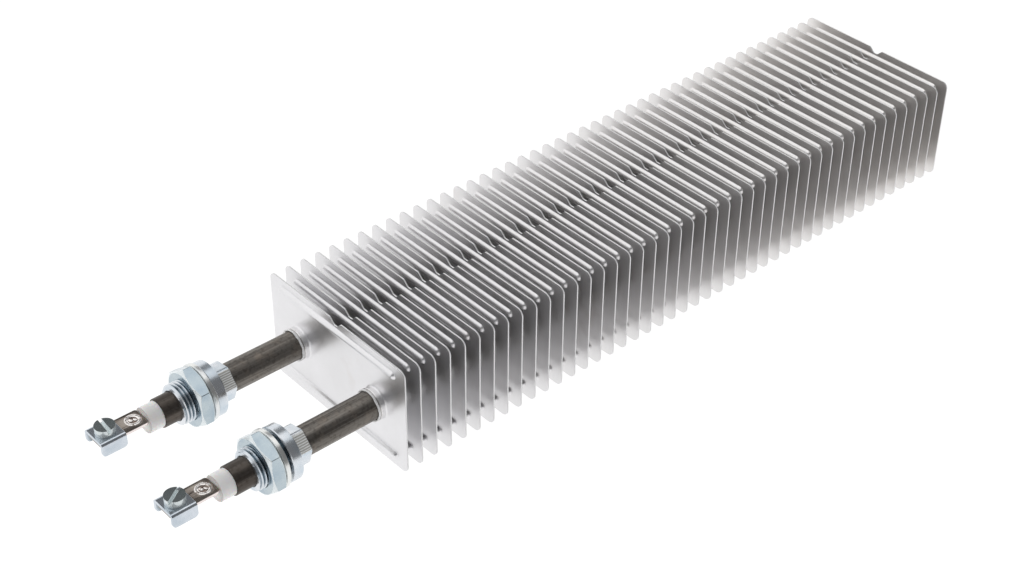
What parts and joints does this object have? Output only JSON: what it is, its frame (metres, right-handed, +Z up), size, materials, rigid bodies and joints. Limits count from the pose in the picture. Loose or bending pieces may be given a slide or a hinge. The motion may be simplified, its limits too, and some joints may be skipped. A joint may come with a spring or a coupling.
{
  "type": "finned tubular heater",
  "caption": "U-shaped sheathed heating tube with pressed rectangular sheet fins, threaded mounting fittings with nuts and washers, and ceramic-insulated screw terminals.",
  "frame": {"origin": "middle of the whole length and width, on the plane of the fins' bottom edges", "axes": "+X from the terminals to the U-bend along the legs, +Y from the near leg to the far leg, +Z up, towards the fins' notched edge"},
  "size_m": [0.3686, 0.07, 0.041],
  "materials": {
    "fin_sheet": "satin aluminised sheet steel",
    "tube_steel": "dark oxidised stainless steel with lengthwise streaks",
    "coil_wire": "resistance alloy wire",
    "magnesia": "pressed powder",
    "pin_steel": "plain steel wire",
    "fitting_zinc": "turned steel with blue-white zinc plating",
    "washer_zinc": "blue-white zinc plating",
    "nut_zinc": "blue-white zinc plating",
    "ceramic": "matt steatite",
    "tab_steel": "heat-browned sheet steel",
    "saddle_zinc": "zinc-plated sheet steel",
    "screw_steel": "zinc-plated steel, dulled"
  },
  "bodies": {
    "root": {"sheath": "tube_steel", "heating_coil": "coil_wire", "magnesia_filling": "magnesia", "near_pin": "pin_steel", "far_pin": "pin_steel", "near_fitting": "fitting_zinc", "far_fitting": "fitting_zinc", "washers": "washer_zinc", "lock_nuts": "nut_zinc", "near_insulator": "ceramic", "far_insulator": "ceramic", "near_tab": "tab_steel", "far_tab": "tab_steel", "saddles": "saddle_zinc", "screws": "screw_steel", "fin_01": "fin_sheet", "fin_02": "fin_sheet", "fin_03": "fin_sheet", "fin_04": "fin_sheet", "fin_05": "fin_sheet", "fin_06": "fin_sheet", "fin_07": "fin_sheet", "fin_08": "fin_sheet", "fin_09": "fin_sheet", "fin_10": "fin_sheet", "fin_11": "fin_sheet", "fin_12": "fin_sheet", "fin_13": "fin_sheet", "fin_14": "fin_sheet", "fin_15": "fin_sheet", "fin_16": "fin_sheet", "fin_17": "fin_sheet", "fin_18": "fin_sheet", "fin_19": "fin_sheet", "fin_20": "fin_sheet", "fin_21": "fin_sheet", "fin_22": "fin_sheet", "fin_23": "fin_sheet", "fin_24": "fin_sheet", "fin_25": "fin_sheet", "fin_26": "fin_sheet", "fin_27": "fin_sheet", "fin_28": "fin_sheet", "fin_29": "fin_sheet", "fin_30": "fin_sheet", "fin_31": "fin_sheet", "fin_32": "fin_sheet", "fin_33": "fin_sheet", "fin_34": "fin_sheet", "fin_35": "fin_sheet", "fin_36": "fin_sheet", "fin_37": "fin_sheet", "fin_38": "fin_sheet", "fin_39": "fin_sheet", "fin_40": "fin_sheet", "fin_41": "fin_sheet", "fin_42": "fin_sheet", "fin_43": "fin_sheet", "fin_44": "fin_sheet", "fin_45": "fin_sheet"}
  },
  "joints": []
}
